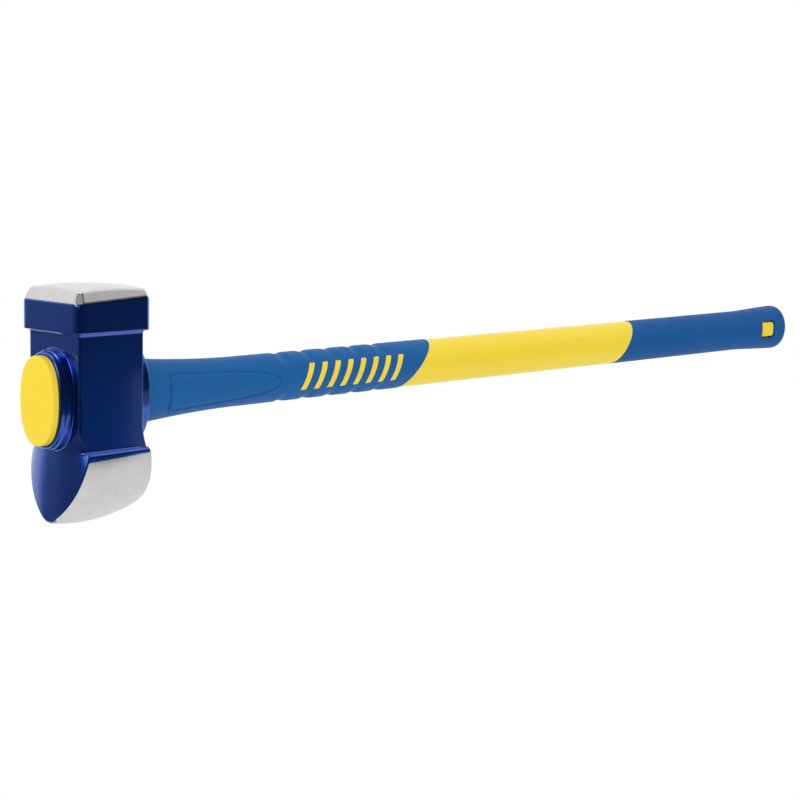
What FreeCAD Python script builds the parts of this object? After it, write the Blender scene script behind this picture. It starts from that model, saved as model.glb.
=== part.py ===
"""Splitting maul: a forged head with a square poll and a wedge bit, on a fibreglass handle.

The model is built round the eye axis (X along the handle, Z towards the striking face) and every
sub-part is then lowered, so that the origin is the centre of the striking face.
"""
import FreeCAD
import Part

import math
import os

# Driving dimensions, in millimetres and degrees.
SIZES = {
    # forged head
    "face_height": 77.5,        # eye axis to the striking face
    "poll_side": 64.6,
    "poll_corner": 6.5,         # radius of the poll's upright corners
    "poll_under": 46.6,         # eye axis to the poll's underside
    "crown_radius": 200.0,
    "crown_flat": 24.0,         # diameter of the flat at the middle of the crown
    "bevel_tall": 6.0,
    "bevel_inset": 4.0,
    "waist_side": 55.8,
    "waist_corner": 1.8,
    "collar_sunk": 0.45,        # where a collar's foot starts, as a share of the waist's side
    "root_radius": 2.0,         # fillet under the poll and over the shoulders
    # wedge bit
    "shoulder_drop": 34.8,      # eye axis to the shoulders
    "bit_drop": 92.0,           # a level just below the cutting edge
    "cheek_radius": 56.5,       # curve of each cheek, seen along the handle
    "cheek_offset": 25.0,       # how far a cheek's centre lies beyond the middle plane
    "cheek_centre_drop": 38.0,
    "edge_sweep": 93.0,         # radius in which the cheeks' centre runs along the edge
    "edge_lead": 7.0,           # the lowest point of the edge lies this far in front of the eye
    "heel_reach": 31.2,         # eye axis to the back of the bit at the shoulder
    "heel_reach_low": 46.6,    # the same at the level below the edge
    "toe_reach_low": 33.8,
    "flare_tall": 16.0,         # concave run from the waist out to the heel
    # collars round the eye
    "collar_reach": 37.5,       # eye centre to a collar's end face
    "collar_wide": 42.4,
    "collar_tall": 68.6,
    "collar_foot_wide": 44.6,
    "collar_foot_tall": 70.4,
    "collar_round": 1.2,
    # eye, tapered from front to back
    "eye_front_wide": 30.0,
    "eye_front_tall": 54.0,
    "eye_back_wide": 25.0,
    "eye_back_tall": 36.0,
    "seal_thick": 5.0,
    # cap
    "cap_wide": 36.3,
    "cap_tall": 61.8,
    "cap_thick": 6.2,
    "cap_stem": 6.0,
    "cap_round": 1.0,
    # fibreglass core
    "core_wide": 18.0,
    "core_tall": 27.0,
    "core_end": 840.0,
    # jacket
    "jacket_wide": 28.4,
    "jacket_tall": 36.4,
    "jacket_thin_wide": 22.6,   # where a grip is moulded over it
    "jacket_thin_tall": 31.0,
    "jacket_end": 846.0,
    "jacket_overlap": 60.0,     # how far past a grip's end the full-size shell is first drawn
    # front grip and overstrike guard
    "guard_end": 326.0,         # where its slanted end crosses the handle's axis
    "guard_end_lean": 44.0,     # angle of that end from the upright
    "guard_wide": 28.8,
    "guard_tall": 37.0,
    "guard_spare": 40.0,        # drawn this far past its end before the slanted cut
    "flare_end": 133.0,         # eye to where the guard stops flaring
    "flare_wide": 6.7,          # how much wider and taller it is against the collar
    "flare_high": 10.5,
    "flare_power": 1.8,
    "panel_start": 62.5,
    "panel_long": 109.0,
    "panel_tall": 26.0,
    "panel_tall_end": 16.0,
    "panel_round": 7.5,         # radius of the corners of the panel's far end
    "panel_proud": 0.4,
    "panel_drop": 1.5,
    "scallop_first": 179.0,
    "scallop_pitch": 26.0,
    "scallop_count": 5,
    "scallop_radius": 30.0,
    "scallop_deep": 0.7,
    # marks on the front grip
    "mark_first": 197.6,
    "mark_pitch": 14.0,
    "mark_count": 8,
    "mark_stroke": 5.0,
    "mark_tall": 20.0,
    "mark_lean": 25.0,          # angle of a bar from the upright
    "mark_floor_wide": 26.0,
    "mark_floor_tall": 34.2,
    "mark_proud": 0.25,
    # rear grip
    "grip_start": 598.6,        # where its slanted start crosses the handle's axis
    "grip_start_lean": 34.0,
    "butt": 856.0,
    "butt_wide": 33.0,
    "butt_tall": 41.6,
    "butt_round": 13.0,         # length of the rounded end
    "window_at": 819.0,
    "window_long": 20.0,
    "window_tall": 16.0,
    "window_corner": 3.0,
    "window_gap": 1.2,          # between the window and the pad of the jacket inside it
    "window_sink": 0.8,
}

# Outer ovals of the rear grip before its rounded end: distance from the eye, width and height.
GRIP_OVALS = [
    (570.0, 28.8, 36.8),
    (775.0, 28.8, 36.8),
    (790.0, 29.5, 37.5),
    (806.0, 31.0, 39.2),
    (822.0, 32.3, 40.8),
]
BUTT_TURNS = (0, 15, 30, 45, 58, 70, 80)        # degrees round the end's quarter turn
FLARE_STATIONS = 10                             # ovals in the guard's flare
X_AXIS = FreeCAD.Vector(1, 0, 0)
Y_AXIS = FreeCAD.Vector(0, 1, 0)
Z_AXIS = FreeCAD.Vector(0, 0, 1)
OVAL_TURN = FreeCAD.Rotation(Y_AXIS, -90)       # long axis up, plane across the handle
Y_TO_DOWN = FreeCAD.Rotation(X_AXIS, -90)       # a wedge's Y axis points down
Z_TO_SIDE = FreeCAD.Rotation(X_AXIS, 90)        # an upright cylinder lies across the handle
# A wedge's Y axis runs towards the butt and its X axis points up.
X_TO_BUTT = FreeCAD.Rotation(Z_AXIS, X_AXIS, Y_AXIS, "XYZ")
Y_SPAN = 120.0                                  # wider than any piece, for cutting tools
LONG = 1000.0                                   # longer than the handle, for cutting tools
TOLERANCE = 1e-4

doc = FreeCAD.newDocument("splitting_maul")


def make_sheet():
    """The spreadsheet that holds every driving dimension."""
    sheet = doc.addObject("Spreadsheet::Sheet", "Sizes")
    for row, (alias, value) in enumerate(SIZES.items(), 1):
        sheet.set(f"A{row}", alias)
        sheet.set(f"B{row}", str(value))
        sheet.setAlias(f"B{row}", alias)
    doc.recompute()
    return sheet


def bind(thing, **expressions):
    """Bind properties to expressions. In a name __ stands for a dot, in a text $ for the sheet."""
    for path, text in expressions.items():
        thing.setExpression(path.replace("__", "."), text.replace("$", "Sizes."))
    return thing


def add(kind, name, turn=None, **expressions):
    """Add a Part object, turned if wanted, with its properties bound."""
    thing = doc.addObject(kind, name)
    if turn is not None:
        thing.Placement = FreeCAD.Placement(FreeCAD.Vector(), turn)
    return bind(thing, **expressions)


def at(x="0", y="0", z="0"):
    """The expressions that put an object at a place."""
    return {"Placement__Base__x": x, "Placement__Base__y": y, "Placement__Base__z": z}


def fuse(name, *things):
    joined = doc.addObject("Part::MultiFuse", name)
    joined.Shapes = list(things)
    joined.Refine = True
    return joined


def common(name, *things):
    shared = doc.addObject("Part::MultiCommon", name)
    shared.Shapes = list(things)
    return shared


def cut(name, base, tool):
    rest = doc.addObject("Part::Cut", name)
    rest.Base = base
    rest.Tool = tool
    return rest


def edges_where(thing, wanted):
    """Numbers, from 1, of the edges of a shape that a test picks."""
    doc.recompute()
    return [n for n, edge in enumerate(thing.Shape.Edges, 1) if wanted(edge)]


def fillet(name, base, wanted, size):
    """Round the edges that a test picks."""
    rounded = doc.addObject("Part::Fillet", name)
    rounded.Base = base
    radius = SIZES[size]
    rounded.Edges = [(n, radius, radius) for n in edges_where(base, wanted)]
    return rounded


def block(name, x_from, x_to, half_y, z_from, z_to):
    """A box given by the expressions of its sides."""
    return add("Part::Box", name, Length=f"({x_to}) - ({x_from})", Width=f"2 * ({half_y})",
               Height=f"({z_to}) - ({z_from})", **at(x_from, f"-({half_y})", z_from))


def oval(name, x, wide, tall):
    """An oval outline across the handle, at distance x from the eye."""
    return add("Part::Ellipse", name, OVAL_TURN, MajorRadius=f"({tall}) / 2",
               MinorRadius=f"({wide}) / 2", **at(x))


def loft(name, ovals):
    """A solid skinned over ovals given as (x, wide, tall)."""
    skin = doc.addObject("Part::Loft", name)
    skin.Sections = [oval(f"{name}_oval{n}", *map(str, spec)) for n, spec in enumerate(ovals)]
    skin.Solid = True
    skin.Ruled = True
    return skin


def rod(name, x_from, x_to, wide, tall):
    """A straight oval rod."""
    return loft(name, [(x_from, wide, tall), (x_to, wide, tall)])


def is_upright(edge):
    """True for a straight edge that runs along Z."""
    ends = [vertex.Point for vertex in edge.Vertexes]
    if edge.Curve.TypeId != "Part::GeomLine" or len(ends) != 2:
        return False
    run = ends[1] - ends[0]
    return abs(run.x) < TOLERANCE and abs(run.y) < TOLERANCE


def is_across(edge, reach):
    """True for an edge that lies in a plane across the handle, this far from the eye."""
    box = edge.BoundBox
    return box.XLength < TOLERANCE and abs(abs(box.XMin) - reach) < TOLERANCE


def is_crown_rim(edge):
    """True for an edge between the crown and a side of the poll."""
    box = edge.BoundBox
    reach = max(abs(v) for v in (box.XMin, box.XMax, box.YMin, box.YMax))
    outside = reach > SIZES["poll_side"] / 2 - SIZES["poll_corner"]
    high = box.ZMin > SIZES["face_height"] - SIZES["bevel_tall"]
    return high and outside and box.XLength > TOLERANCE


def is_poll_root(edge):
    """True for the inside corner between the waist and the poll's underside."""
    box = edge.BoundBox
    reach = SIZES["waist_side"] / 2 + TOLERANCE
    inside = max(abs(v) for v in (box.XMin, box.XMax, box.YMin, box.YMax)) < reach
    return inside and box.ZLength < TOLERANCE and abs(box.ZMin - SIZES["poll_under"]) < TOLERANCE


def finish(thing, label):
    """Name a sub-part and lower it, so that the striking face's centre is the origin."""
    thing.Label = label
    bind(thing, Placement__Base__z="-$face_height")
    return thing


# --- head --------------------------------------------------------------------------------------


def make_poll():
    """Square poll with rounded corners, a ground crown and a bevel all round the crown."""
    half = "$poll_side / 2"
    square = block("poll_square", f"-{half}", half, half, "$poll_under", "$face_height")
    rounded = fillet("poll_block", square, is_upright, "poll_corner")
    ball = add("Part::Sphere", "crown_ball", Radius="$crown_radius", **at(
        z="$face_height - sqrt($crown_radius ^ 2 - ($crown_flat / 2) ^ 2)"))
    crowned = common("poll_crowned", rounded, ball)
    bevel = doc.addObject("Part::Chamfer", "poll")
    bevel.Base = crowned
    sizes = (SIZES["bevel_inset"], SIZES["bevel_tall"])
    bevel.Edges = [(n, *sizes) for n in edges_where(crowned, is_crown_rim)]
    return bevel


def make_waist():
    """Square waist that carries the eye."""
    half = "$waist_side / 2"
    square = block("waist_square", f"-{half}", half, half,
                   "-$shoulder_drop - $root_radius", "$poll_under + $root_radius")
    return fillet("waist", square, is_upright, "waist_corner")


def make_bit():
    """Wedge bit: two convex cheeks that meet in a curved edge, trimmed at toe, heel and top."""
    cheeks = []
    for side, sign in (("left", "-"), ("right", "")):
        cheeks.append(add("Part::Torus", f"cheek_{side}", Z_TO_SIDE, Radius1="$edge_sweep",
                          Radius2="$cheek_radius",
                          **at("-$edge_lead", f"{sign}$cheek_offset",
                               "$edge_sweep - $cheek_centre_drop")))
    trim = add("Part::Wedge", "bit_trim", Y_TO_DOWN, Xmin="-$waist_side / 2", Xmax="$heel_reach",
               X2min="-$toe_reach_low", X2max="$heel_reach_low", Ymin="0",
               Ymax="$bit_drop - $shoulder_drop", **at(z="-$shoulder_drop"))
    trim.Zmin = trim.Z2min = -Y_SPAN / 2
    trim.Zmax = trim.Z2max = Y_SPAN / 2
    return common("bit", *cheeks, trim)


def make_flare():
    """Concave run from the back of the waist out to the heel of the bit."""
    half = "$waist_side / 2"
    step = "($heel_reach - $waist_side / 2)"
    lump = block("flare_block", half, "$heel_reach", f"{half} - $waist_corner",
                 "-$shoulder_drop", "$flare_tall - $shoulder_drop")
    radius = f"($flare_tall ^ 2 + {step} ^ 2) / (2 * {step})"
    hollow = add("Part::Cylinder", "flare_hollow", Z_TO_SIDE, Radius=radius,
                 **at(f"{half} + {radius}", str(Y_SPAN / 2), "$flare_tall - $shoulder_drop"))
    hollow.Height = Y_SPAN
    return cut("flare", lump, hollow)


def make_cove(name, sign):
    """Concave fillet between a side of the waist and the shoulder below it."""
    half = "$waist_side / 2"
    rise = "$root_radius - $shoulder_drop"
    edge = half if sign > 0 else f"-{half} - $root_radius"
    strip = add("Part::Box", name + "_strip", Length="$waist_side - $waist_corner",
                Width="$root_radius", Height="$root_radius",
                **at(f"-{half}", edge, "-$shoulder_drop"))
    hollow = add("Part::Cylinder", name + "_hollow", FreeCAD.Rotation(Y_AXIS, 90),
                 Radius="$root_radius",
                 **at(f"-{half} - $root_radius", f"{sign} * ({half} + $root_radius)", rise))
    hollow.Height = Y_SPAN
    return cut(name, strip, hollow)


def make_collar(name, sign):
    """Oval collar that stands round one end of the eye."""
    skin = loft(name + "_skin", [(f"{sign}$waist_side * $collar_sunk", "$collar_foot_wide",
                                  "$collar_foot_tall"),
                                 (f"{sign}$collar_reach", "$collar_wide", "$collar_tall")])
    return fillet(name, skin, lambda edge: is_across(edge, SIZES["collar_reach"]), "collar_round")


def make_head():
    """One forging with the tapered eye cut through it."""
    forging = fuse("forging", make_waist(), make_poll(), make_bit(), make_flare(),
                   make_cove("left_cove", 1), make_cove("right_cove", -1),
                   make_collar("front_collar", "-"), make_collar("back_collar", ""))
    rooted = fillet("forging_filleted", forging, is_poll_root, "root_radius")
    return finish(cut("head_solid", rooted, make_eye("eye")), "head")


# --- inside the eye ----------------------------------------------------------------------------


def make_eye(name):
    """The tapered oval hollow that the handle is bonded into."""
    return loft(name, [("-$collar_reach", "$eye_front_wide", "$eye_front_tall"),
                       ("$collar_reach", "$eye_back_wide", "$eye_back_tall")])


def eye_slice(name, x_from, x_to):
    """The part of the eye between two distances."""
    limits = block(name + "_limits", x_from, x_to, "$collar_foot_wide", "-$collar_foot_tall",
                   "$collar_foot_tall")
    return common(name, make_eye(name + "_eye"), limits)


def core_rod(name):
    """Oval rod from behind the cap to near the butt."""
    return rod(name, "-$collar_reach + $cap_stem", "$core_end", "$core_wide", "$core_tall")


def make_epoxy():
    """Resin that fills the eye round the core."""
    filling = eye_slice("epoxy_block", "-$collar_reach + $cap_stem", "$collar_reach - $seal_thick")
    return finish(cut("epoxy_ring", filling, core_rod("epoxy_hole")), "eye_epoxy")


def make_seal():
    """Ring at the back of the eye that holds the resin in while it sets."""
    filling = eye_slice("seal_block", "$collar_reach - $seal_thick", "$collar_reach")
    return finish(cut("seal_ring", filling, core_rod("seal_hole")), "eye_seal")


def make_cap():
    """Plug with a stem in the mouth of the eye and a flange that rests on the collar."""
    flange = rod("cap_flange", "-$collar_reach - $cap_thick", "-$collar_reach", "$cap_wide",
                 "$cap_tall")
    outer = SIZES["collar_reach"] + SIZES["cap_thick"]
    face = fillet("cap_face", flange, lambda edge: is_across(edge, outer), "cap_round")
    stem = eye_slice("cap_stem", "-$collar_reach", "-$collar_reach + $cap_stem")
    return finish(fuse("cap", face, stem), "eye_cap")


# --- handle ------------------------------------------------------------------------------------


def beyond(name, place, lean, towards_butt):
    """A block that fills one side of a leaning plane that crosses the axis at a place."""
    turn = FreeCAD.Rotation(Y_AXIS, SIZES[lean])
    near = 0.0 if towards_butt else -LONG
    corner = turn.multVec(FreeCAD.Vector(near, -Y_SPAN / 2, -LONG))
    tool = add("Part::Box", name, turn,
               **at(f"{place} + ({corner.x})", str(corner.y), str(corner.z)))
    tool.Length = LONG
    tool.Width = Y_SPAN
    tool.Height = 2 * LONG
    return tool


def thin_jacket(name):
    """The jacket's outside where a grip is moulded over it."""
    return rod(name, "$collar_reach", "$jacket_end", "$jacket_thin_wide", "$jacket_thin_tall")


def window_block(name, gap):
    """Rounded oblong through the butt of the handle, smaller all round by a gap."""
    long_half = f"($window_long / 2 - {gap})"
    tall_half = f"($window_tall / 2 - {gap})"
    box = block(name + "_block", f"$window_at - {long_half}", f"$window_at + {long_half}",
                str(Y_SPAN / 2), f"-{tall_half}", tall_half)
    return fillet(name, box, lambda edge: edge.BoundBox.YLength > Y_SPAN / 2, "window_corner")


def make_jacket():
    """Plastic shell over the core: full size between the grips, thinner under them."""
    middle = rod("jacket_middle", "$guard_end - $jacket_overlap",
                 "$grip_start + $jacket_overlap", "$jacket_wide", "$jacket_tall")
    no_guard = cut("jacket_no_guard", middle,
                   beyond("under_guard", "$guard_end", "guard_end_lean", False))
    exposed = cut("jacket_exposed", no_guard,
                  beyond("under_grip", "$grip_start", "grip_start_lean", True))
    pad = common("window_pad", window_block("window_fill", "$window_gap"),
                 loft("window_level", grip_ovals("$window_sink")))
    shell = fuse("jacket_shell", exposed, thin_jacket("jacket_thin"), pad)
    return finish(cut("jacket_hollow", shell, core_rod("jacket_hole")), "handle_jacket")


def guard_ovals(proud="0"):
    """Ovals of the guard: a flare that dies out along the handle, then a straight run."""
    run = "($flare_end - $collar_reach)"
    ovals = []
    for n in range(FLARE_STATIONS + 1):
        left = f"{1 - n / FLARE_STATIONS:.3f} ^ $flare_power"
        ovals.append((f"$collar_reach + {run} * {n / FLARE_STATIONS}",
                      f"$guard_wide + $flare_wide * {left} + 2 * {proud}",
                      f"$guard_tall + $flare_high * {left}"))
    ovals.append(("$guard_end + $guard_spare", f"$guard_wide + 2 * {proud}", "$guard_tall"))
    return ovals


def scallop(name, x, sign):
    """A shallow hollow across the top or the bottom of the front grip."""
    reach = f"{sign} * ($guard_tall / 2 + $scallop_radius - $scallop_deep)"
    tool = add("Part::Cylinder", name, Z_TO_SIDE, Radius="$scallop_radius",
               **at(x, str(Y_SPAN / 2), reach))
    tool.Height = Y_SPAN
    return tool


def make_panel():
    """Raised bullet-shaped pad on each side of the guard, blunt at the head."""
    outline = add("Part::Wedge", "panel_taper", X_TO_BUTT, Xmin="-$panel_tall / 2",
                  Xmax="$panel_tall / 2", X2min="-$panel_tall_end / 2",
                  X2max="$panel_tall_end / 2", Ymin="0", Ymax="$panel_long",
                  **at("$panel_start", z="-$panel_drop"))
    outline.Zmin = outline.Z2min = -Y_SPAN / 2
    outline.Zmax = outline.Z2max = Y_SPAN / 2
    reach = SIZES["panel_start"] + SIZES["panel_long"]
    bullet = fillet("panel_outline", outline, lambda edge: is_across(edge, reach)
                    and edge.BoundBox.YLength > Y_SPAN / 2, "panel_round")
    return common("panel", loft("panel_level", guard_ovals("$panel_proud")), bullet)


def mark_slots(name):
    """The row of slanted bars, as deep as the inlays go into each side of the grip."""
    bars = []
    turn = FreeCAD.Rotation(Y_AXIS, SIZES["mark_lean"])
    for n in range(SIZES["mark_count"]):
        start = turn.multVec(FreeCAD.Vector(0, -Y_SPAN / 2, -LONG / 2))
        bar = add("Part::Box", f"{name}_bar_{n}", turn, Length="$mark_stroke",
                  **at(f"$mark_first + {n} * $mark_pitch + ({start.x})", str(start.y),
                       str(start.z)))
        bar.Width = Y_SPAN
        bar.Height = LONG
        bars.append(bar)
    band = block(name + "_band", "$mark_first - $mark_tall", "$guard_end", str(Y_SPAN / 2),
                 "-$mark_tall / 2", "$mark_tall / 2")
    through = common(name + "_through", fuse(name + "_bars", *bars), band)
    floor = rod(name + "_floor", "0", "$guard_end", "$mark_floor_wide", "$mark_floor_tall")
    return cut(name, through, floor)


def make_marks():
    """Inlaid slanted bars on both sides of the front grip."""
    proud = rod("mark_level", "0", "$guard_end", "$guard_wide + 2 * $mark_proud",
                "$guard_tall + 2 * $mark_proud")
    return finish(common("marks", mark_slots("mark_fill"), proud), "grip_marks")


def make_guard():
    """Overstrike guard and front grip, flared at the head, with side panels and scallops."""
    skin = loft("guard_skin", guard_ovals())
    tools = [beyond("guard_limit", "$guard_end", "guard_end_lean", True)]
    for n in range(SIZES["scallop_count"]):
        x = f"$scallop_first + {n} * $scallop_pitch"
        tools += [scallop(f"scallop_top_{n}", x, 1), scallop(f"scallop_bottom_{n}", x, -1)]
    shaped = cut("guard_shaped", fuse("guard_outside", skin, make_panel()),
                 fuse("guard_tools", *tools))
    slotted = cut("guard_slotted", shaped, mark_slots("mark_slot"))
    return finish(cut("guard", slotted, thin_jacket("guard_hole")), "guard_sleeve")


def grip_ovals(sink="0"):
    """Ovals of the rear grip: straight, then swelling, then closing in round the butt."""
    ovals = [(x, f"{wide} - 2 * {sink}", str(tall)) for x, wide, tall in GRIP_OVALS]
    for degrees in BUTT_TURNS:
        reach, size = math.sin(math.radians(degrees)), math.cos(math.radians(degrees))
        ovals.append((f"$butt - $butt_round * {1 - reach:.4f}",
                      f"($butt_wide - 2 * {sink}) * {size:.4f}", f"$butt_tall * {size:.4f}"))
    return ovals


def make_rear_grip():
    """Soft grip with a slanted start, a rounded butt and a window on each side."""
    skin = loft("grip_skin", grip_ovals())
    started = cut("grip_started", skin,
                  beyond("grip_limit", "$grip_start", "grip_start_lean", False))
    pierced = cut("grip_pierced", started, window_block("window", "0"))
    return finish(cut("rear_grip_solid", pierced, thin_jacket("grip_hole")), "rear_grip")


def check(parts):
    """Stop with a plain message if any object failed or any sub-part isn't one sound shape."""
    failed = [thing.Name for thing in doc.Objects
              if "Invalid" in thing.State or "Error" in thing.State]
    if failed:
        raise RuntimeError(f"these objects failed: {failed}")
    for part in parts:
        if part.Shape.isNull() or not part.Shape.isValid():
            raise RuntimeError(f"{part.Label} has no sound shape")


make_sheet()
PARTS = [make_head(), finish(core_rod("core"), "fibreglass_core"), make_epoxy(), make_seal(),
         make_cap(), make_jacket(), make_guard(), make_marks(), make_rear_grip()]
doc.recompute()
check(PARTS)
os.makedirs("parts", exist_ok=True)
for part in PARTS:
    part.Shape.exportStep(f"parts/{part.Label}.step")
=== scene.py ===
"""Looks of the splitting maul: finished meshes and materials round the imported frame.

Shapes are worked out in millimetres round the eye axis (X along the handle, Z to the striking
face). Each visible piece is the zero level of a distance field, so that its edges are truly
rounded, and is placed in the frame in metres.
"""

import math

import bpy
import numpy as np
import openvdb
from mathutils import Matrix, Vector


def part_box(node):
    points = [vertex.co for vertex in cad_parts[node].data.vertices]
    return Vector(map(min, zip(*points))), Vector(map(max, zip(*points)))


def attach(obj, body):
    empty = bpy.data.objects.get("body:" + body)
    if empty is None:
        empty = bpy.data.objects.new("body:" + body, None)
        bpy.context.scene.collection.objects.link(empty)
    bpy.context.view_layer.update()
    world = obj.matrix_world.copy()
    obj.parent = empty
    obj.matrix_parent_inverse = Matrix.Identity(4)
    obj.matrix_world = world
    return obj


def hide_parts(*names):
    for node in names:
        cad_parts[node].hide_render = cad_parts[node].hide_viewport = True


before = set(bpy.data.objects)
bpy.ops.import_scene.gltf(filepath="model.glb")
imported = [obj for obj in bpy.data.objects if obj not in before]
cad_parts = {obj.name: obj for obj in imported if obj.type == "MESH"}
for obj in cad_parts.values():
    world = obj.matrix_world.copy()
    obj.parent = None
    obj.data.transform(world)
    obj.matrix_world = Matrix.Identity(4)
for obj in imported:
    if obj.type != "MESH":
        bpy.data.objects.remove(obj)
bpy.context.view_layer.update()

MM = 0.001


def box_mm(node):
    """Lowest and highest corner of a CAD node, in millimetres round the eye axis."""
    low, high = (np.array(corner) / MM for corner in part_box(node))
    return low - EYE, high - EYE


core_low, core_high = (np.array(corner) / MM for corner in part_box("fibreglass_core"))
EYE = np.array((0.0, 0.0, (core_low[2] + core_high[2]) / 2))

# Places from the frame.
HEAD_LOW, HEAD_HIGH = box_mm("head")
CAP_LOW, CAP_HIGH = box_mm("eye_cap")
GUARD_LOW, GUARD_HIGH = box_mm("guard_sleeve")
GRIP_LOW, GRIP_HIGH = box_mm("rear_grip")
JACKET_END = box_mm("handle_jacket")[1][0]
MARKS_LOW, MARKS_HIGH = box_mm("grip_marks")
FACE = HEAD_HIGH[2]
COLLAR = -HEAD_LOW[0]

# A bracketed pair below is an oval's half width and half height.

# Head.
POLL_HALF = 32.3
POLL_CORNER = 6.5
POLL_UNDER = 46.6                       # height of the poll's underside
CROWN_RADIUS = 300.0
CROWN_FLAT_HALF = 12.0
BEVEL_TALL, BEVEL_INSET = 6.4, 3.3
BEVEL_DROP = 2.2                        # from the middle of the crown to the top of the bevel
BEVEL_LEAN, BEVEL_DIP = 0.022, 0.028    # the bevel rises to one corner and dips at its neighbour
FACET_CUT = 0.8                         # how much deeper the bevel goes at the corners
WAIST_HALF = 27.9
WAIST_CORNER = 1.8
BOSS_RIM, BOSS_FOOT = (20.4, 33.3), (21.3, 34.3)
BOSS_STEP = 34.4                        # from the eye axis to the front of the boss's foot
BOSS_SPREAD = 0.10                      # how much the boss widens per millimetre to its foot
BACK_OVAL, BACK_PROUD = (22.9, 35.2), 0.6
EYE_FRONT, EYE_BACK = (15.0, 27.0), (12.5, 18.0)
CAP_DOME = 0.35                         # how far the cap's middle stands out past its rim
SHOULDER = -34.8                        # height at which the bit starts
CHEEK_RADIUS, CHEEK_OFFSET, CHEEK_CENTRE = 56.5, 25.0, -38.0
EDGE_SWEEP, EDGE_LEAD = 93.0, 7.0       # radius of the edge's arc; how far forward it is lowest
EDGE_ROUND = 3.5
HEEL = 31.2
TOE_LEAN, HEEL_LEAN = 0.103, 0.27       # how much the bit spreads per millimetre downwards
TOE_TIP, HEEL_TIP = 4.0, 9.0            # radii of the bit's lower corners, seen from the side
CREASE_TOP, CREASE_LEAN = -41.0, 0.235  # the toe's corner with the ground cheek
CREASE_BACK = 4.6                       # how far behind the waist's front that corner starts
CREASE_FADE = 17.0                      # height in which the waist's corner leans back to it
FLARE_TALL = 16.0                       # height of the concave run out to the heel
GROUND_BELOW, GROUND_LEAN = 5.16, 0.04  # where the bare cheek starts under the shoulder
GROUND_TURN = 7.0                       # how far its front line turns back near the edge
GROUND_TURN_TOP, GROUND_TURN_LOW = -81.0, -88.0
OVAL_POWER = 2.3                        # a little fuller than an ellipse
HANDLE_POWER = 2.1

# Handle, from the eye to the butt. The jacket is thinner under both grips.
JACKET_HALF = (14.2, 18.2)
JACKET_SEAT = (11.3, 15.5)
JACKET_THIN = (11.2, 15.4)              # a hair inside its seat in the grips
JACKET_HOLLOW = (9.2, 13.7)
GUARD_HALF_WIDE, GUARD_HALF_TALL = 14.4, 18.5
FLARE_WIDE, FLARE_HIGH, FLARE_POWER = 3.35, 5.25, 1.8
FLARE_END = 133.0
GUARD_END, GUARD_LEAN = 326.0, math.radians(44.0)
PANEL_START, PANEL_LONG, PANEL_HALF, PANEL_TAPER, PANEL_DROP = 62.5, 109.0, 13.0, 5.0, 1.5
PANEL_PROUD, GROOVE_DEEP, GROOVE_WIDE = 0.35, 0.8, 0.8
SCALLOP_FIRST, SCALLOP_PITCH, SCALLOP_COUNT = 179.0, 26.0, 5
SCALLOP_DEEP, SCALLOP_HALF = 1.1, 7.5
SCALLOP_SIDE, SCALLOP_FULL = 9.0, 15.5  # heights between which a scallop reaches its depth
MARK_COUNT, MARK_PITCH, MARK_HALF_WIDE = 8, 14.0, 2.5
MARK_LEAN = math.radians(25.0)
MARK_INSET = 7.5                        # from the marks' first point to the first bar's middle
GRIP_START, GRIP_LEAN = 598.6, math.radians(34.0)
GRIP_THINNER = 0.1                      # the rear grip is this much less tall than the guard
SWELL_START, SWELL_END = 772.0, 848.0
BUTT_ROUND = 13.0
WINDOW, WINDOW_HALF_LONG, WINDOW_HALF_TALL = 819.0, 10.0, 8.0
WINDOW_CORNER = 3.0
PAD_GAP, PAD_SINK, PAD_CORNER = 1.4, 0.7, 2.0

# Mesh cells.
HEAD_CELL, CAP_CELL, GRIP_CELL, MARK_CELL = 0.65, 0.45, 0.75, 0.35


# --- distance fields ---------------------------------------------------------------------------


def joined(a, b, radius):
    """Union of two fields with a fillet of the given radius between them."""
    return np.maximum(radius, np.minimum(a, b)) - np.hypot(
        np.maximum(radius - a, 0), np.maximum(radius - b, 0))


def shared(a, b, radius):
    """Intersection of two fields with its edge rounded."""
    return np.minimum(-radius, np.maximum(a, b)) + np.hypot(
        np.maximum(radius + a, 0), np.maximum(radius + b, 0))


def oval(u, v, half_u, half_v, power, w=0.0):
    """Nearly the distance to an oval, or to an ellipsoid's end where w is above 0."""
    u, v = np.abs(u) / half_u, np.abs(v) / half_v
    size = (u ** power + v ** power + w ** power) ** (1 / power)
    size = np.maximum(size, 1e-3)
    slope = np.hypot((u / size) ** (power - 1) / half_u, (v / size) ** (power - 1) / half_v)
    return (size - 1) / np.maximum(slope, 1 / np.maximum(half_u, half_v))


def rounded_oblong(u, v, half_u, half_v, corner):
    """Distance to an oblong with rounded corners."""
    u, v = np.abs(u) - half_u + corner, np.abs(v) - half_v + corner
    outside = np.hypot(np.maximum(u, 0), np.maximum(v, 0))
    return outside + np.minimum(np.maximum(u, v), 0) - corner


def ease(value, start, end):
    """0 on start's side, 1 on end's side and smooth in between, in either direction."""
    share = np.clip((value - start) / (end - start), 0, 1)
    return share * share * (3 - 2 * share)


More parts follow.
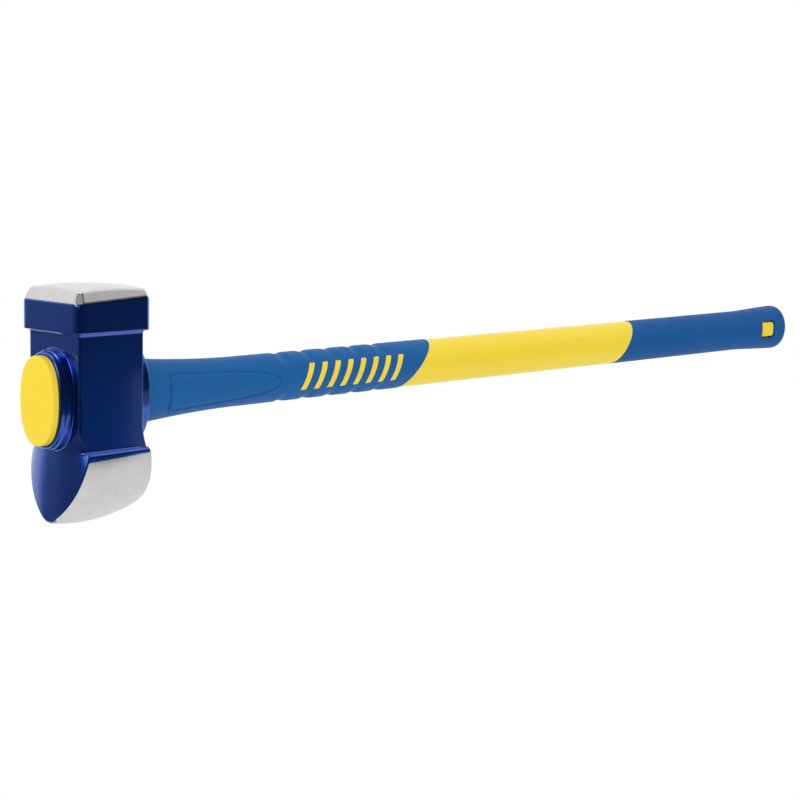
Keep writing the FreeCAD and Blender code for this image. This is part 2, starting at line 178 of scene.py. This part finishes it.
def skin(name, field, low, high, cell):
    """Mesh of a field's zero level, with its points moved onto the exact surface."""
    margin = 3 * cell
    low = np.array(low, float) - margin
    axes = [np.arange(a, b + margin, cell) for a, b in zip(low, high)]
    values = np.clip(field(*np.meshgrid(*axes, indexing="ij")), -margin, margin)
    grid = openvdb.FloatGrid(margin)
    grid.copyFromArray(values.astype(np.float32))
    points, quads = grid.convertToQuads()
    points = points.astype(float) * cell + low
    for _ in range(3):
        level, slope = slope_of(field, points)
        points -= np.clip(level, -cell, cell)[:, None] * slope
    corners = points[quads]
    facing = np.cross(corners[:, 2] - corners[:, 0], corners[:, 3] - corners[:, 1])
    normals = slope_of(field, points)[1]
    if np.sum(facing * normals[quads[:, 0]]) < 0:
        quads = quads[:, ::-1]
    return piece(name, points, quads.tolist(), normals)


def slope_of(field, points, step=0.02):
    """The field at points, and its slope divided by its length squared."""
    level = field(*points.T)
    slope = np.stack([
        (field(*(points + offset).T) - field(*(points - offset).T)) / (2 * step)
        for offset in np.eye(3) * step], axis=1)
    length = np.sum(slope * slope, axis=1, keepdims=True)
    return level, slope / np.maximum(length, 0.05)


def piece(name, points, faces, normals=None):
    """A smooth mesh object in the frame, from points in millimetres round the eye axis."""
    mesh = bpy.data.meshes.new(name)
    mesh.from_pydata((points + EYE) * MM, [], faces)
    mesh.update()
    mesh.shade_smooth()
    if normals is not None:
        lengths = np.linalg.norm(normals, axis=1, keepdims=True)
        mesh.normals_split_custom_set_from_vertices(normals / np.maximum(lengths, 1e-9))
    thing = bpy.data.objects.new(name, mesh)
    bpy.context.scene.collection.objects.link(thing)
    return thing


# --- head --------------------------------------------------------------------------------------


def crown_level(x, y, z):
    """Distance above the crown's ball."""
    centre = FACE - math.sqrt(CROWN_RADIUS ** 2 - CROWN_FLAT_HALF ** 2)
    return np.sqrt(x * x + y * y + (z - centre) ** 2) - CROWN_RADIUS


def toe_plane(z):
    """Where the middle of the bit's front face lies."""
    return -WAIST_HALF - TOE_LEAN * (SHOULDER - z)


def crease(z):
    """Where the bit's front face turns into the ground cheek."""
    line = -WAIST_HALF + CREASE_BACK - CREASE_LEAN * (CREASE_TOP - z)
    return np.maximum(line, toe_plane(z))


def toe_level(x, y, z):
    """Distance in front of the bit's front face, which curves back to the crease on each side."""
    low = np.minimum(z, SHOULDER)
    curve = (crease(low) - toe_plane(low)) * (1 - ease(z, SHOULDER, SHOULDER + CREASE_FADE))
    across = np.minimum(np.abs(y) / np.maximum(cheek_half(crease(low), low), 4.0), 1.3)
    return (toe_plane(low) + curve * across ** 3.2 - x) * 0.97


def cheek_half(x, z):
    """Half the bit's thickness."""
    ring = np.hypot(x + EDGE_LEAD, z - CHEEK_CENTRE - EDGE_SWEEP) - EDGE_SWEEP
    return np.sqrt(np.maximum(CHEEK_RADIUS ** 2 - ring ** 2, 0)) - CHEEK_OFFSET


def heel_level(x, z):
    """Distance behind the bit's back face."""
    return (x - HEEL - HEEL_LEAN * (SHOULDER - z)) * math.cos(math.atan(HEEL_LEAN))


def bevel_top(x, y, z):
    """Height over the top of the bevel."""
    return z - FACE + BEVEL_DROP - BEVEL_LEAN * (x - y) - BEVEL_DIP * (x + y)


def bevel_level(side, above):
    """Distance outside the flat ground between a side and the crown."""
    return ((side * BEVEL_TALL + above * BEVEL_INSET + BEVEL_TALL * BEVEL_INSET)
            / math.hypot(BEVEL_TALL, BEVEL_INSET))


def poll_field(x, y, z):
    """Square poll with a crowned top, a ground bevel and cut corners."""
    side = rounded_oblong(x, y, POLL_HALF, POLL_HALF, POLL_CORNER)
    flat = np.maximum(np.abs(x), np.abs(y)) - POLL_HALF
    corner = math.sqrt(2) * (POLL_HALF - POLL_CORNER) + POLL_CORNER - FACET_CUT
    facet = (np.abs(x) + np.abs(y)) / math.sqrt(2) - corner
    above = bevel_top(x, y, z)
    ground = shared(bevel_level(flat, above), bevel_level(facet, above), 0.3)
    top = shared(crown_level(x, y, z), ground, 1.2)
    return shared(shared(side, top, 0.6), POLL_UNDER - z, 1.1)


def bit_field(x, y, z):
    """Wedge with bulging cheeks and an edge swept in an arc."""
    ring = np.hypot(x + EDGE_LEAD, z - CHEEK_CENTRE - EDGE_SWEEP) - EDGE_SWEEP
    cheeks = shared(np.hypot(ring, y + CHEEK_OFFSET) - CHEEK_RADIUS,
                    np.hypot(ring, y - CHEEK_OFFSET) - CHEEK_RADIUS, EDGE_ROUND)
    below = ring - math.sqrt(CHEEK_RADIUS ** 2 - CHEEK_OFFSET ** 2)
    toe = shared(toe_level(x, y, z), below, TOE_TIP)
    heel = shared(heel_level(x, z), below, HEEL_TIP)
    return shared(shared(shared(cheeks, z - SHOULDER, 3.3), toe, 0.7), heel, 0.8)


def flare_field(x, y, z):
    """Concave run from the back of the waist out to the heel."""
    step = HEEL - WAIST_HALF
    radius = (FLARE_TALL ** 2 + step ** 2) / (2 * step)
    top = SHOULDER + FLARE_TALL
    hollow = radius - np.hypot(x - WAIST_HALF - radius, z - top)
    run = shared(shared(hollow, heel_level(x, z), 1.0), np.abs(y) - WAIST_HALF, 1.5)
    return np.maximum.reduce([run, z - top, SHOULDER - 12 - z, WAIST_HALF - 3 - x])


def boss_field(x, y, z):
    """Two low steps round the front of the eye."""
    rim = shared(oval(y, z, *BOSS_RIM, OVAL_POWER), -x - COLLAR, 1.8)
    spread = BOSS_SPREAD * np.clip(x + BOSS_STEP, 0, 9)
    foot_wide, foot_tall = (half + spread for half in BOSS_FOOT)
    step = shared(oval(y, z, foot_wide, foot_tall, OVAL_POWER), -x - BOSS_STEP, 1.7)
    return joined(rim, step, 0.8)


def collar_field(x, y, z):
    """The step round the back of the eye."""
    return shared(oval(y, z, *BACK_OVAL, OVAL_POWER), x - COLLAR - BACK_PROUD, 1.2)


def eye_field(x, y, z):
    """The eye, which narrows from the front of the head to the back."""
    back = (x + COLLAR) / (2 * COLLAR)
    wide, tall = (front + (rear - front) * back for front, rear in zip(EYE_FRONT, EYE_BACK))
    return oval(y, z, wide, tall, 2.0)


def head_field(x, y, z):
    """The whole forging: poll, waist, flare, bit and both collars, less the eye."""
    waist = np.maximum.reduce([rounded_oblong(x, y, WAIST_HALF, WAIST_HALF, WAIST_CORNER),
                               z - POLL_UNDER - 3, SHOULDER - 0.5 - z])
    waist = np.maximum(waist, toe_level(x, y, z))
    body = joined(waist, poll_field(x, y, z), 2.4)
    body = np.minimum(body, flare_field(x, y, z))
    cove = 0.01 + 1.2 * ease(WAIST_HALF - np.abs(x), 0.5, 5.0)
    body = joined(body, bit_field(x, y, z), cove)
    body = joined(body, np.maximum(boss_field(x, y, z), x), 0.6)
    body = joined(body, np.maximum(collar_field(x, y, z), -x), 1.6)
    return np.maximum(body, -eye_field(x, y, z))


def bare_steel(x, y, z):
    """How far inside the ground steel a point of the head's surface lies."""
    crown = bevel_top(x, y, z) + BEVEL_TALL
    line = SHOULDER - GROUND_BELOW + GROUND_LEAN * x
    toe = crease(z) + 0.3 + GROUND_TURN * ease(z, GROUND_TURN_TOP, GROUND_TURN_LOW)
    cheek = np.minimum.reduce([x - toe, -heel_level(x, z) - 0.8, line - z])
    return np.maximum(crown, cheek)


def make_head():
    """The head, with a vertex value that says where its steel is bare."""
    head = skin("forged_head", head_field, HEAD_LOW, HEAD_HIGH, HEAD_CELL)
    points = np.array([v.co for v in head.data.vertices]) / MM - EYE
    bare = head.data.attributes.new("bare", "FLOAT", "POINT")
    bare.data.foreach_set("value", bare_steel(*points.T).astype(np.float32))
    return finish_piece(head, "head", painted_steel())


# --- cap and handle ----------------------------------------------------------------------------


def cap_field(x, y, z):
    """The plug's domed flange and its stem in the eye."""
    half_wide, half_tall = CAP_HIGH[1], CAP_HIGH[2]
    side = oval(y, z, half_wide, half_tall, OVAL_POWER)
    dome = CAP_LOW[0] - x + (y * y / half_wide ** 2 + z * z / half_tall ** 2) * CAP_DOME
    flange = shared(shared(side, dome, 1.3), x + COLLAR, 0.5)
    stem = np.maximum(eye_field(x, y, z) + 0.1, x - CAP_HIGH[0])
    return np.minimum(flange, np.maximum(stem, -COLLAR - 2 - x))


def thin_jacket(x, y, z):
    """The jacket's surface under the grips."""
    return oval(y, z, *JACKET_SEAT, 2.0)


def panel_level(x, z):
    """Distance outside the bullet-shaped pad on the guard's side, seen from the side."""
    along = np.clip((x - PANEL_START) / PANEL_LONG, 0, 1)
    half = (PANEL_HALF - PANEL_TAPER * along) * np.sqrt(1 - along ** 7)
    return np.maximum.reduce([np.abs(z + PANEL_DROP) - half, PANEL_START - x,
                              x - PANEL_START - PANEL_LONG])


def guard_skin(x, y, z):
    """The guard's outside before its details."""
    flare = np.clip((FLARE_END - x) / (FLARE_END - COLLAR), 0, 1) ** FLARE_POWER
    return oval(y, z, GUARD_HALF_WIDE + FLARE_WIDE * flare, GUARD_HALF_TALL + FLARE_HIGH * flare,
                HANDLE_POWER)


def guard_field(x, y, z):
    """The front grip, with its panel, scallops and slanted end."""
    body = guard_skin(x, y, z)
    panel = panel_level(x, z)
    groove = GROOVE_DEEP * np.exp(-(panel / GROOVE_WIDE) ** 2)
    body = body - PANEL_PROUD * (1 - ease(panel, -0.9, 0.3)) + groove
    along = (x - SCALLOP_FIRST) / SCALLOP_PITCH
    near = np.abs(along - np.clip(np.round(along), 0, SCALLOP_COUNT - 1)) * SCALLOP_PITCH
    hollow = SCALLOP_DEEP * (1 - ease(near, 0, SCALLOP_HALF))
    body = body + hollow * ease(np.abs(z), SCALLOP_SIDE, SCALLOP_FULL)
    end = (x - GUARD_END - math.tan(GUARD_LEAN) * z) * math.cos(GUARD_LEAN)
    body = shared(shared(body, end, 0.5), GUARD_LOW[0] - x, 1.0)
    return np.maximum(body, -thin_jacket(x, y, z))


def marks_field(x, y, z):
    """Slanted bars inlaid in both sides of the front grip."""
    along = x - MARKS_LOW[0] - MARK_INSET - z * math.tan(MARK_LEAN)
    near = along - np.clip(np.round(along / MARK_PITCH), 0, MARK_COUNT - 1) * MARK_PITCH
    bar = rounded_oblong(near * math.cos(MARK_LEAN), z, MARK_HALF_WIDE, MARKS_HIGH[2], 0.7)
    skin_level = guard_skin(x, y, z)
    plate = np.maximum(skin_level - 0.3, -0.9 - skin_level)
    return np.maximum(shared(bar, plate, 0.15), 5 - np.abs(y))


def grip_skin(x, y, z):
    """The rear grip's outside before its details."""
    swell = ease(x, SWELL_START, SWELL_END)
    round_end = np.maximum(x - GRIP_HIGH[0] + BUTT_ROUND, 0) / BUTT_ROUND
    return oval(y, z, GUARD_HALF_WIDE + (GRIP_HIGH[1] - GUARD_HALF_WIDE) * swell,
                GUARD_HALF_TALL - GRIP_THINNER + (GRIP_HIGH[2] - GUARD_HALF_TALL) * swell,
                HANDLE_POWER, np.minimum(round_end, 1.2))


def grip_field(x, y, z):
    """The rear grip, with its slanted start and a window on each side."""
    start = (GRIP_START + math.tan(GRIP_LEAN) * z - x) * math.cos(GRIP_LEAN)
    window = rounded_oblong(x - WINDOW, z, WINDOW_HALF_LONG, WINDOW_HALF_TALL, WINDOW_CORNER)
    body = shared(grip_skin(x, y, z), start, 0.5)
    body = shared(body, -window, 0.9)
    hollow = np.maximum(thin_jacket(x, y, z), x - JACKET_END)
    return np.maximum(body, -hollow)


def pad_field(x, y, z):
    """The jacket showing through the window in the rear grip."""
    pad = rounded_oblong(x - WINDOW, z, WINDOW_HALF_LONG - PAD_GAP, WINDOW_HALF_TALL - PAD_GAP,
                         PAD_CORNER)
    level = grip_skin(x, y, z) + PAD_SINK
    return np.maximum(shared(pad, level, 0.6), 8 - np.abs(y))


def make_pads():
    """Both pads in one piece, from a box a little larger than the windows."""
    low = (WINDOW - WINDOW_HALF_LONG - 2, GRIP_LOW[1], -WINDOW_HALF_TALL - 1)
    high = (WINDOW + WINDOW_HALF_LONG + 2, GRIP_HIGH[1], WINDOW_HALF_TALL + 1)
    return skin("window_pad", pad_field, low, high, CAP_CELL)


def make_jacket():
    """Oval shell from the collar to the butt, thinner under both grips."""
    bare_from = GUARD_END - GUARD_HALF_TALL * math.tan(GUARD_LEAN) - 15
    bare_to = GRIP_START + GUARD_HALF_TALL * math.tan(GRIP_LEAN) + 15
    outer = [(COLLAR, *JACKET_THIN), (bare_from - 2, *JACKET_THIN)]
    outer += [(x, *JACKET_HALF) for x in np.linspace(bare_from, bare_to, 41)]
    outer += [(bare_to + 2, *JACKET_THIN), (JACKET_END - 0.5, *JACKET_THIN)]
    inner = [(x, *JACKET_HOLLOW) for x, _, _ in reversed(outer)]
    around = 160
    turns = np.arange(around) * 2 * math.pi / around
    c, s = np.cos(turns), np.sin(turns)
    rings = []
    for x, wide, tall in outer + inner:
        share = (np.abs(c) ** HANDLE_POWER + np.abs(s) ** HANDLE_POWER) ** (-1 / HANDLE_POWER)
        rings.append(np.stack([np.full(around, x), wide * c * share, tall * s * share], axis=1))
    points = np.concatenate(rings)
    count = len(rings)
    faces = [(i * around + j, i * around + (j + 1) % around,
              (i + 1) % count * around + (j + 1) % around, (i + 1) % count * around + j)
             for i in range(count) for j in range(around)]
    jacket = piece("yellow_jacket", points, faces)
    jacket.data.set_sharp_from_angle(angle=math.radians(40))
    return jacket


# --- materials ---------------------------------------------------------------------------------


class Shader:
    """A node material with short calls for what each finish needs."""

    def __init__(self, name):
        self.material = bpy.data.materials.new(name)
        self.material.use_nodes = True
        self.tree = self.material.node_tree
        self.surface = self.tree.nodes["Principled BSDF"]
        self.place = self.add("ShaderNodeTexCoord").outputs["Object"]

    def add(self, kind, inputs=(), **settings):
        node = self.tree.nodes.new(kind)
        for key, value in settings.items():
            setattr(node, key, value)
        for key, value in dict(inputs).items():
            self.put(node.inputs[key], value)
        return node

    def put(self, socket, value):
        if isinstance(value, bpy.types.NodeSocket):
            self.tree.links.new(value, socket)
        else:
            socket.default_value = value

    def set(self, **values):
        for key, value in values.items():
            self.put(self.surface.inputs[key.replace("_", " ")], value)

    def noise(self, size_mm, stretch=(1, 1, 1), detail=3.0):
        """Noise with features of a size in millimetres, drawn out along an axis by stretch."""
        scale = [1 / s for s in stretch]
        mapping = self.add("ShaderNodeMapping", {"Vector": self.place, "Scale": scale})
        texture = self.add("ShaderNodeTexNoise", {
            "Vector": mapping.outputs[0], "Scale": 1 / (size_mm * MM), "Detail": detail,
            "Roughness": 0.5})
        return texture.outputs["Fac"]

    def total(self, a, b):
        return self.add("ShaderNodeMath", {0: a, 1: b}, operation="ADD").outputs[0]

    def span(self, value, low, high, new_low=0.0, new_high=1.0):
        """A value carried from one range to another, held at its ends."""
        node = self.add("ShaderNodeMapRange", {
            "Value": value, "From Min": low, "From Max": high, "To Min": new_low,
            "To Max": new_high})
        return node.outputs["Result"]

    def mix(self, share, a, b):
        node = self.add("ShaderNodeMix", {"Factor": share}, data_type="RGBA")
        self.put(node.inputs["A"], a)
        self.put(node.inputs["B"], b)
        return node.outputs["Result"]

    def bump(self, height, depth_mm):
        inputs = {"Height": height, "Distance": depth_mm * MM, "Strength": 1.0}
        return self.add("ShaderNodeBump", inputs).outputs["Normal"]


def painted_steel():
    """Blue lacquer over the forging, with the crown, its bevel and the cheeks ground bare."""
    m = Shader("painted_steel")
    attribute = m.add("ShaderNodeAttribute", attribute_name="bare").outputs["Fac"]
    ragged = m.span(m.noise(1.6, detail=4.0), 0, 1, -0.35, 0.35)
    bare = m.span(m.total(attribute, ragged), -0.12, 0.12)
    mottle = m.noise(14.0)
    paint = m.mix(mottle, (0.002, 0.062, 0.39, 1), (0.003, 0.072, 0.45, 1))
    grind = m.noise(0.5, stretch=(14, 14, 1), detail=4.0)
    cloud = m.noise(9.0, stretch=(1, 1, 2))
    steel = m.mix(cloud, (0.56, 0.55, 0.545, 1), (0.68, 0.67, 0.665, 1))
    peel = m.bump(m.noise(2.4, detail=1.0), 0.03)
    scratched = m.bump(grind, 0.02)
    normal = m.add("ShaderNodeMix", {"Factor": bare}, data_type="VECTOR")
    m.put(normal.inputs["A"], peel)
    m.put(normal.inputs["B"], scratched)
    m.set(Base_Color=m.mix(bare, paint, steel), Metallic=m.span(bare, 0, 1, 0.97, 1.0),
          Roughness=m.span(bare, 0, 1, 0.27, 0.30),
          Coat_Weight=m.span(bare, 0, 1, 1.0, 0.0), Coat_Roughness=0.08,
          Normal=normal.outputs["Result"])
    return m.material


def moulded(name, dark, light, roughness, grain_mm, grain_depth_mm, coat=0.0):
    """Moulded plastic or rubber: faint colour drift, a fine grain and uneven gloss."""
    m = Shader(name)
    drift = m.noise(30.0, stretch=(3, 1, 1))
    grain = m.noise(grain_mm, detail=2.0)
    gloss = m.span(m.noise(6.0), 0.3, 0.7, roughness * 0.9, roughness * 1.1)
    m.set(Base_Color=m.mix(drift, (*dark, 1), (*light, 1)), Roughness=gloss,
          Specular_IOR_Level=0.12, Coat_Weight=coat, Coat_Roughness=0.12,
          Normal=m.bump(grain, grain_depth_mm))
    return m.material


def yellow_plastic():
    return moulded("yellow_plastic", (0.84, 0.62, 0.038), (0.88, 0.66, 0.050), 0.34, 1.2, 0.012,
                   coat=0.15)


def blue_guard():
    return moulded("blue_guard", (0.005, 0.098, 0.30), (0.007, 0.110, 0.335), 0.48, 0.5, 0.03)


def blue_grip():
    return moulded("blue_grip", (0.001, 0.078, 0.27), (0.001, 0.088, 0.30), 0.55, 0.45, 0.035)


def finish_piece(thing, node, material):
    """Give a piece its material, and let it stand for its CAD node."""
    thing.data.materials.append(material)
    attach(thing, "root")
    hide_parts(node)
    return thing


def hidden_finishes():
    """Materials of the CAD pieces inside the eye and the handle."""
    looks = {
        "fibreglass_core": moulded("pultruded_glass", (0.50, 0.45, 0.30), (0.62, 0.57, 0.42),
                                   0.45, 0.6, 0.03),
        "eye_epoxy": moulded("cured_resin", (0.34, 0.22, 0.08), (0.42, 0.30, 0.12), 0.25, 2.0,
                             0.02, coat=0.3),
        "eye_seal": moulded("seal_rubber", (0.012, 0.012, 0.012), (0.02, 0.02, 0.02), 0.7, 0.5,
                            0.03),
    }
    for name, material in looks.items():
        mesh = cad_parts[name].data
        mesh.materials.clear()
        mesh.materials.append(material)


# --- stage -------------------------------------------------------------------------------------

CAMERA_AZIMUTH, CAMERA_PITCH, CAMERA_ROLL = map(math.radians, (43.2, 7.48, 1.07))
CAMERA_DEPTH, HEAD_LEFT, HEAD_UP = 1451.0, 216.5, 2.7      # where the eye lies before the camera
CAMERA_LENS = 94.5
FLOOR_DROP = 700.0
FLOOR_SPAN = ((-0.7, 2.5), (-2.2, 1.2))                   # metres
# The room seen in reflections: its dark level, then each glow's direction, the cosines at its edge
# and where it is full, and its level.
ROOM_DARK = 0.04
ROOM_GLOWS = (((0.50, 0.64, 0.58), 0.16, 0.36, 1.06),       # white wall behind the object
              ((-0.80, 0.60, -0.10), 0.75, 0.97, 0.13),     # pale wall beyond the face of the head
              ((-0.43, 0.10, 0.90), 0.955, 0.985, 2.5),     # two soft lamps in front of the head
              ((-0.93, 0.00, 0.37), 0.955, 0.985, 2.5))
KEY_LAMP = ((-1500, -500, 900), (0, 0, 0), 900, 4)         # place, aim, size, watts
CARD_LAMP = ((348, -330, -101), (22, -28, -20), 130, 0.018)


def make_camera():
    """The photo's view, set by where the eye of the head lies before the camera."""
    forward = np.array((math.cos(CAMERA_AZIMUTH) * math.cos(CAMERA_PITCH),
                        math.sin(CAMERA_AZIMUTH) * math.cos(CAMERA_PITCH),
                        -math.sin(CAMERA_PITCH)))
    right = np.array((math.sin(CAMERA_AZIMUTH), -math.cos(CAMERA_AZIMUTH), 0.0))
    up = np.cross(right, forward)
    c, s = math.cos(CAMERA_ROLL), math.sin(CAMERA_ROLL)
    right, up = c * right + s * up, c * up - s * right
    place = (EYE + HEAD_LEFT * right - HEAD_UP * up - CAMERA_DEPTH * forward) * MM
    data = bpy.data.cameras.new("camera")
    data.lens = CAMERA_LENS
    camera = bpy.data.objects.new("camera", data)
    camera.matrix_world = Matrix.Translation(place) @ Matrix(
        np.stack([right, up, -forward], axis=1)).to_4x4()
    bpy.context.scene.collection.objects.link(camera)
    bpy.context.scene.camera = camera


def make_floor():
    """Pale floor well below the tool, plain white where the camera sees it."""
    mesh = bpy.data.meshes.new("floor")
    z = (HEAD_LOW[2] + EYE[2] - FLOOR_DROP) * MM
    (x_from, x_to), (y_from, y_to) = FLOOR_SPAN
    mesh.from_pydata([(x_from, y_from, z), (x_to, y_from, z), (x_to, y_to, z), (x_from, y_to, z)],
                     [], [(0, 1, 2, 3)])
    floor = bpy.data.objects.new("floor", mesh)
    bpy.context.scene.collection.objects.link(floor)
    material = bpy.data.materials.new("floor")
    material.use_nodes = True
    tree = material.node_tree
    tree.nodes.clear()
    seen = tree.nodes.new("ShaderNodeLightPath")
    pale = tree.nodes.new("ShaderNodeEmission")
    pale.inputs["Strength"].default_value = 1.0
    matt = tree.nodes.new("ShaderNodeBsdfDiffuse")
    matt.inputs["Color"].default_value = (0.9, 0.9, 0.9, 1)
    mix = tree.nodes.new("ShaderNodeMixShader")
    out = tree.nodes.new("ShaderNodeOutputMaterial")
    tree.links.new(seen.outputs["Is Camera Ray"], mix.inputs[0])
    tree.links.new(matt.outputs[0], mix.inputs[1])
    tree.links.new(pale.outputs[0], mix.inputs[2])
    tree.links.new(mix.outputs[0], out.inputs["Surface"])
    mesh.materials.append(material)


def make_world():
    """A white room: even light all round, and reflections with a white wall behind the object."""
    world = bpy.data.worlds.new("studio")
    bpy.context.scene.world = world
    world.use_nodes = True
    tree = world.node_tree
    tree.nodes.clear()

    def node(kind, **settings):
        made = tree.nodes.new(kind)
        for key, value in settings.items():
            setattr(made, key, value)
        return made

    def glow(direction, edge, full, level):
        """Soft round patch of the room's wall, between two cosines from its middle."""
        dot = node("ShaderNodeVectorMath", operation="DOT_PRODUCT")
        dot.inputs[1].default_value = Vector(direction).normalized()
        tree.links.new(place.outputs["Generated"], dot.inputs[0])
        ramp = node("ShaderNodeMapRange", interpolation_type="SMOOTHSTEP")
        ramp.inputs["From Min"].default_value = edge
        ramp.inputs["From Max"].default_value = full
        ramp.inputs["To Max"].default_value = level
        tree.links.new(dot.outputs["Value"], ramp.inputs["Value"])
        return ramp.outputs["Result"]

    place = node("ShaderNodeTexCoord")
    seen = node("ShaderNodeLightPath")
    dark = node("ShaderNodeValue")
    dark.outputs[0].default_value = ROOM_DARK
    total = dark.outputs[0]
    for patch in ROOM_GLOWS:
        plus = node("ShaderNodeMath", operation="ADD")
        tree.links.new(glow(*patch), plus.inputs[0])
        tree.links.new(total, plus.inputs[1])
        total = plus.outputs[0]
    level = node("ShaderNodeMix", data_type="FLOAT")
    level.inputs["B"].default_value = 1.0
    either = node("ShaderNodeMath", operation="MAXIMUM")
    tree.links.new(seen.outputs["Is Camera Ray"], either.inputs[0])
    tree.links.new(seen.outputs["Is Diffuse Ray"], either.inputs[1])
    tree.links.new(either.outputs[0], level.inputs["Factor"])
    tree.links.new(total, level.inputs["A"])
    light = node("ShaderNodeBackground")
    light.inputs["Color"].default_value = (1, 1, 1, 1)
    tree.links.new(level.outputs["Result"], light.inputs["Strength"])
    out = node("ShaderNodeOutputWorld")
    tree.links.new(light.outputs[0], out.inputs["Surface"])


def add_lamp(name, place_mm, aim_mm, size_mm, watts):
    """A soft square lamp that faces a point."""
    data = bpy.data.lights.new(name, "AREA")
    data.size = size_mm * MM
    data.energy = watts
    lamp = bpy.data.objects.new(name, data)
    place = Vector((np.array(place_mm) + EYE) * MM)
    aim = Vector((np.array(aim_mm) + EYE) * MM)
    lamp.location = place
    lamp.rotation_euler = (aim - place).to_track_quat("-Z", "Y").to_euler()
    bpy.context.scene.collection.objects.link(lamp)
    return lamp


def make_stage():
    """Camera, floor, room and lamps. The card shows in reflections only."""
    make_camera()
    make_floor()
    make_world()
    add_lamp("key", *KEY_LAMP)
    card = add_lamp("card", *CARD_LAMP)
    card.visible_camera = False
    card.visible_diffuse = False
    bpy.context.scene.view_settings.view_transform = "Standard"


# --- put it together ---------------------------------------------------------------------------

make_head()
yellow = yellow_plastic()
finish_piece(skin("cap", cap_field, CAP_LOW, CAP_HIGH, CAP_CELL), "eye_cap",
             yellow)
finish_piece(skin("front_grip", guard_field, GUARD_LOW, GUARD_HIGH, GRIP_CELL), "guard_sleeve",
             blue_guard())
finish_piece(skin("grip_bars", marks_field, MARKS_LOW, MARKS_HIGH, MARK_CELL), "grip_marks",
             yellow)
finish_piece(skin("butt_grip", grip_field, GRIP_LOW, GRIP_HIGH, GRIP_CELL), "rear_grip",
             blue_grip())
finish_piece(make_jacket(), "handle_jacket", yellow)
finish_piece(make_pads(), "handle_jacket", yellow)
hidden_finishes()
make_stage()
